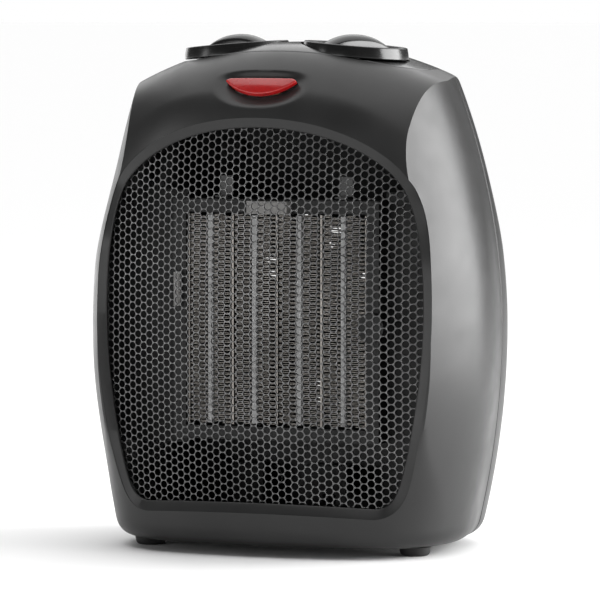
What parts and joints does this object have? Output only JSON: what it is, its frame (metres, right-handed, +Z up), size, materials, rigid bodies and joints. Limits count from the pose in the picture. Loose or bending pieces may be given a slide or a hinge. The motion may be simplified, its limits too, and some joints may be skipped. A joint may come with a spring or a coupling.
{
  "type": "ceramic space heater",
  "caption": "Compact upright ceramic fan heater: barrel-shaped two-shell case, arched front grille, red pilot lens, glossy top panel with two rotary knobs, heating element and fan inside.",
  "frame": {"origin": "on the floor under the middle of the case", "axes": "+Z up, the front grille faces -Y, +X to the right as seen from the front"},
  "size_m": [0.1964, 0.1357, 0.2423],
  "materials": {
    "case_plastic": "satin moulded plastic with a fine grain",
    "gloss_black": "high gloss",
    "dark_plastic": "matte",
    "pale_plastic": "matte",
    "lens_red": "gloss, translucent",
    "lamp_glass": "clear",
    "grille_steel": "satin paint on perforated steel",
    "fin_aluminium": "rolled",
    "bright_steel": "zinc plated",
    "ceramic_white": "fired, matte",
    "foot_rubber": "matte"
  },
  "bodies": {
    "case": {"front_shell": "case_plastic", "rear_shell": "case_plastic", "top_panel": "gloss_black", "front_grille": "grille_steel", "thermostat_body": "dark_plastic", "mode_body": "dark_plastic", "element_frame": "dark_plastic", "air_duct": "dark_plastic", "tip_switch_body": "dark_plastic", "mains_terminal_block": "dark_plastic", "thermal_cutout": "dark_plastic", "element_terminal_live": "bright_steel", "element_terminal_neutral": "bright_steel", "motor_bracket": "bright_steel", "fan_motor": "bright_steel", "tip_switch_spring": "bright_steel", "case_screw_upper_right": "bright_steel", "case_screw_upper_left": "bright_steel", "case_screw_lower_right": "bright_steel", "case_screw_lower_left": "bright_steel", "pilot_lens": "lens_red", "pilot_lamp_holder": "pale_plastic", "element_connector": "pale_plastic", "thermal_fuse": "pale_plastic", "pilot_lamp": "lamp_glass", "fin_stack_1": "fin_aluminium", "fin_stack_2": "fin_aluminium", "fin_stack_3": "fin_aluminium", "fin_stack_4": "fin_aluminium", "fin_stack_5": "fin_aluminium", "fin_stack_6": "fin_aluminium", "fin_stack_7": "fin_aluminium", "fin_stack_8": "fin_aluminium", "divider_strip_1": "fin_aluminium", "divider_strip_2": "fin_aluminium", "divider_strip_3": "fin_aluminium", "end_plate_left": "fin_aluminium", "end_plate_right": "fin_aluminium", "ceramic_bar_1": "ceramic_white", "ceramic_bar_2": "ceramic_white", "ceramic_bar_3": "ceramic_white", "ceramic_bar_4": "ceramic_white", "cord_gland": "foot_rubber", "foot_front_right": "foot_rubber", "foot_front_left": "foot_rubber", "foot_rear_right": "foot_rubber", "foot_rear_left": "foot_rubber"},
    "thermostat_dial": {"thermostat_knob": "gloss_black", "thermostat_shaft": "bright_steel"},
    "mode_dial": {"mode_knob": "gloss_black", "mode_shaft": "bright_steel"},
    "fan_rotor": {"fan_impeller": "dark_plastic", "motor_shaft": "bright_steel"},
    "tip_plunger": {"tip_switch_plunger": "dark_plastic"}
  },
  "joints": [
    {"name": "thermostat_turn", "type": "hinge", "parent": "case", "child": "thermostat_dial", "pos_m": [-0.0299, -0.009, 0.2374], "axis": [-0.0819, 0, 0.9966], "range_deg": [0, 270]},
    {"name": "mode_turn", "type": "hinge", "parent": "case", "child": "mode_dial", "pos_m": [0.0299, -0.009, 0.2374], "axis": [0.0819, 0, 0.9966], "range_deg": [0, 270]},
    {"name": "fan_spin", "type": "hinge", "parent": "case", "child": "fan_rotor", "pos_m": [0, 0.004, 0.1085], "axis": [0, 1, 0], "continuous": true},
    {"name": "tip_switch_travel", "type": "slide", "parent": "case", "child": "tip_plunger", "axis": [0, 0, 1], "range_m": [-0.005, 0], "stiffness_N_per_m": 40, "springref_m": -0.006, "deforming": ["tip_switch_spring"]}
  ]
}
